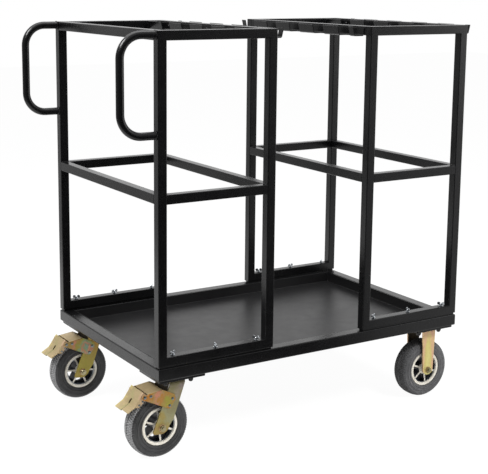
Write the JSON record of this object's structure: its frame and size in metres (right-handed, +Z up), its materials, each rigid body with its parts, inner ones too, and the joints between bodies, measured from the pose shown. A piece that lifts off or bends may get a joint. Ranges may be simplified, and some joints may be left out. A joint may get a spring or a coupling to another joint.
{
  "type": "combo stand cart",
  "caption": "Steel grip cart: tray base on swivel and rigid casters, open racks with comb strips for stand risers, push handles, foot brakes.",
  "frame": {"origin": "on the ground, under the middle of the cart's outer box", "axes": "+Z up, +X along the cart from the handle end to the rigid casters, +Y from its front side to its back side"},
  "size_m": [1.3765, 0.755, 1.337],
  "materials": {
    "black_paint": "satin black powder coat",
    "tray_paint": "satin black powder coat on flat sheet",
    "yellow_zinc": "yellow zinc plating with faint rainbow tints",
    "bright_zinc": "bright zinc plating",
    "cast_hub": "cast and cream coated, machined bright inside",
    "rubber": "matt dark grey rubber"
  },
  "bodies": {
    "cart": {"axle_back_right": "yellow_zinc", "axle_front_right": "yellow_zinc", "base_frame": "black_paint", "bracket_back": "yellow_zinc", "bracket_front": "yellow_zinc", "comb_left_rack_gap_side": "black_paint", "comb_left_rack_inside": "black_paint", "comb_right_rack_end_side": "black_paint", "comb_right_rack_gap_side": "black_paint", "comb_right_rack_inside": "black_paint", "handle_back": "black_paint", "handle_front": "black_paint", "mount_plate_back_left": "black_paint", "mount_plate_back_right": "black_paint", "mount_plate_front_left": "black_paint", "mount_plate_front_right": "black_paint", "rack_left_back_frame": "black_paint", "rack_left_front_frame": "black_paint", "rack_left_inner_middle_rail": "black_paint", "rack_left_inner_top_rail": "black_paint", "rack_left_outer_middle_rail": "black_paint", "rack_left_outer_top_rail": "black_paint", "rack_right_back_frame": "black_paint", "rack_right_front_frame": "black_paint", "rack_right_inner_middle_rail": "black_paint", "rack_right_inner_top_rail": "black_paint", "rack_right_outer_middle_rail": "black_paint", "rack_right_outer_top_rail": "black_paint", "swivel_plate_back": "yellow_zinc", "swivel_plate_front": "yellow_zinc", "tray_pan": "tray_paint"},
    "swivel_front": {"fork_front": "yellow_zinc", "brake_housing_front": "yellow_zinc", "axle_front_left": "yellow_zinc"},
    "pedal_front": {"brake_pedal_front": "yellow_zinc"},
    "wheel_front_left": {"hub_front_left": "cast_hub", "tyre_front_left": "rubber"},
    "wheel_front_right": {"hub_front_right": "cast_hub", "tyre_front_right": "rubber"},
    "swivel_back": {"fork_back": "yellow_zinc", "brake_housing_back": "yellow_zinc", "axle_back_left": "yellow_zinc"},
    "pedal_back": {"brake_pedal_back": "yellow_zinc"},
    "wheel_back_left": {"hub_back_left": "cast_hub", "tyre_back_left": "rubber"},
    "wheel_back_right": {"hub_back_right": "cast_hub", "tyre_back_right": "rubber"},
    "bolt_left_front_1": {"wing_bolt_left_front_1": "bright_zinc"},
    "bolt_left_front_2": {"wing_bolt_left_front_2": "bright_zinc"},
    "bolt_left_front_3": {"wing_bolt_left_front_3": "bright_zinc"},
    "bolt_left_back_1": {"wing_bolt_left_back_1": "bright_zinc"},
    "bolt_left_back_2": {"wing_bolt_left_back_2": "bright_zinc"},
    "bolt_left_back_3": {"wing_bolt_left_back_3": "bright_zinc"},
    "bolt_right_front_1": {"wing_bolt_right_front_1": "bright_zinc"},
    "bolt_right_front_2": {"wing_bolt_right_front_2": "bright_zinc"},
    "bolt_right_front_3": {"wing_bolt_right_front_3": "bright_zinc"},
    "bolt_right_back_1": {"wing_bolt_right_back_1": "bright_zinc"},
    "bolt_right_back_2": {"wing_bolt_right_back_2": "bright_zinc"},
    "bolt_right_back_3": {"wing_bolt_right_back_3": "bright_zinc"}
  },
  "joints": [
    {"name": "swivel_front_turn", "type": "hinge", "parent": "cart", "child": "swivel_front", "pos_m": [-0.47175, -0.2989, 0.24771], "axis": [0, 0, 1], "continuous": true},
    {"name": "pedal_front_press", "type": "hinge", "parent": "swivel_front", "child": "pedal_front", "pos_m": [-0.59066, -0.2989, 0.2152], "axis": [0, -1, 0], "range_deg": [0, 22]},
    {"name": "wheel_front_left_roll", "type": "hinge", "parent": "swivel_front", "child": "wheel_front_left", "pos_m": [-0.52875, -0.2989, 0.10351], "axis": [0, 1, 0], "continuous": true},
    {"name": "wheel_front_right_roll", "type": "hinge", "parent": "cart", "child": "wheel_front_right", "pos_m": [0.55225, -0.2989, 0.10351], "axis": [0, 1, 0], "continuous": true},
    {"name": "swivel_back_turn", "type": "hinge", "parent": "cart", "child": "swivel_back", "pos_m": [-0.47175, 0.2989, 0.24771], "axis": [0, 0, 1], "continuous": true},
    {"name": "pedal_back_press", "type": "hinge", "parent": "swivel_back", "child": "pedal_back", "pos_m": [-0.59066, 0.2989, 0.2152], "axis": [0, -1, 0], "range_deg": [0, 22]},
    {"name": "wheel_back_left_roll", "type": "hinge", "parent": "swivel_back", "child": "wheel_back_left", "pos_m": [-0.52875, 0.2989, 0.10351], "axis": [0, 1, 0], "continuous": true},
    {"name": "wheel_back_right_roll", "type": "hinge", "parent": "cart", "child": "wheel_back_right", "pos_m": [0.55225, 0.2989, 0.10351], "axis": [0, 1, 0], "continuous": true},
    {"name": "wing_bolt_left_front_1_turn", "type": "hinge", "parent": "cart", "child": "bolt_left_front_1", "pos_m": [-0.50275, -0.3625, 0.34301], "axis": [0, 0, 1], "continuous": true},
    {"name": "wing_bolt_left_front_2_turn", "type": "hinge", "parent": "cart", "child": "bolt_left_front_2", "pos_m": [-0.35075, -0.3625, 0.34301], "axis": [0, 0, 1], "continuous": true},
    {"name": "wing_bolt_left_front_3_turn", "type": "hinge", "parent": "cart", "child": "bolt_left_front_3", "pos_m": [-0.19875, -0.3625, 0.34301], "axis": [0, 0, 1], "continuous": true},
    {"name": "wing_bolt_left_back_1_turn", "type": "hinge", "parent": "cart", "child": "bolt_left_back_1", "pos_m": [-0.50275, 0.3625, 0.34301], "axis": [0, 0, 1], "continuous": true},
    {"name": "wing_bolt_left_back_2_turn", "type": "hinge", "parent": "cart", "child": "bolt_left_back_2", "pos_m": [-0.35075, 0.3625, 0.34301], "axis": [0, 0, 1], "continuous": true},
    {"name": "wing_bolt_left_back_3_turn", "type": "hinge", "parent": "cart", "child": "bolt_left_back_3", "pos_m": [-0.19875, 0.3625, 0.34301], "axis": [0, 0, 1], "continuous": true},
    {"name": "wing_bolt_right_front_1_turn", "type": "hinge", "parent": "cart", "child": "bolt_right_front_1", "pos_m": [0.27925, -0.3625, 0.34301], "axis": [0, 0, 1], "continuous": true},
    {"name": "wing_bolt_right_front_2_turn", "type": "hinge", "parent": "cart", "child": "bolt_right_front_2", "pos_m": [0.43125, -0.3625, 0.34301], "axis": [0, 0, 1], "continuous": true},
    {"name": "wing_bolt_right_front_3_turn", "type": "hinge", "parent": "cart", "child": "bolt_right_front_3", "pos_m": [0.58325, -0.3625, 0.34301], "axis": [0, 0, 1], "continuous": true},
    {"name": "wing_bolt_right_back_1_turn", "type": "hinge", "parent": "cart", "child": "bolt_right_back_1", "pos_m": [0.27925, 0.3625, 0.34301], "axis": [0, 0, 1], "continuous": true},
    {"name": "wing_bolt_right_back_2_turn", "type": "hinge", "parent": "cart", "child": "bolt_right_back_2", "pos_m": [0.43125, 0.3625, 0.34301], "axis": [0, 0, 1], "continuous": true},
    {"name": "wing_bolt_right_back_3_turn", "type": "hinge", "parent": "cart", "child": "bolt_right_back_3", "pos_m": [0.58325, 0.3625, 0.34301], "axis": [0, 0, 1], "continuous": true}
  ]
}
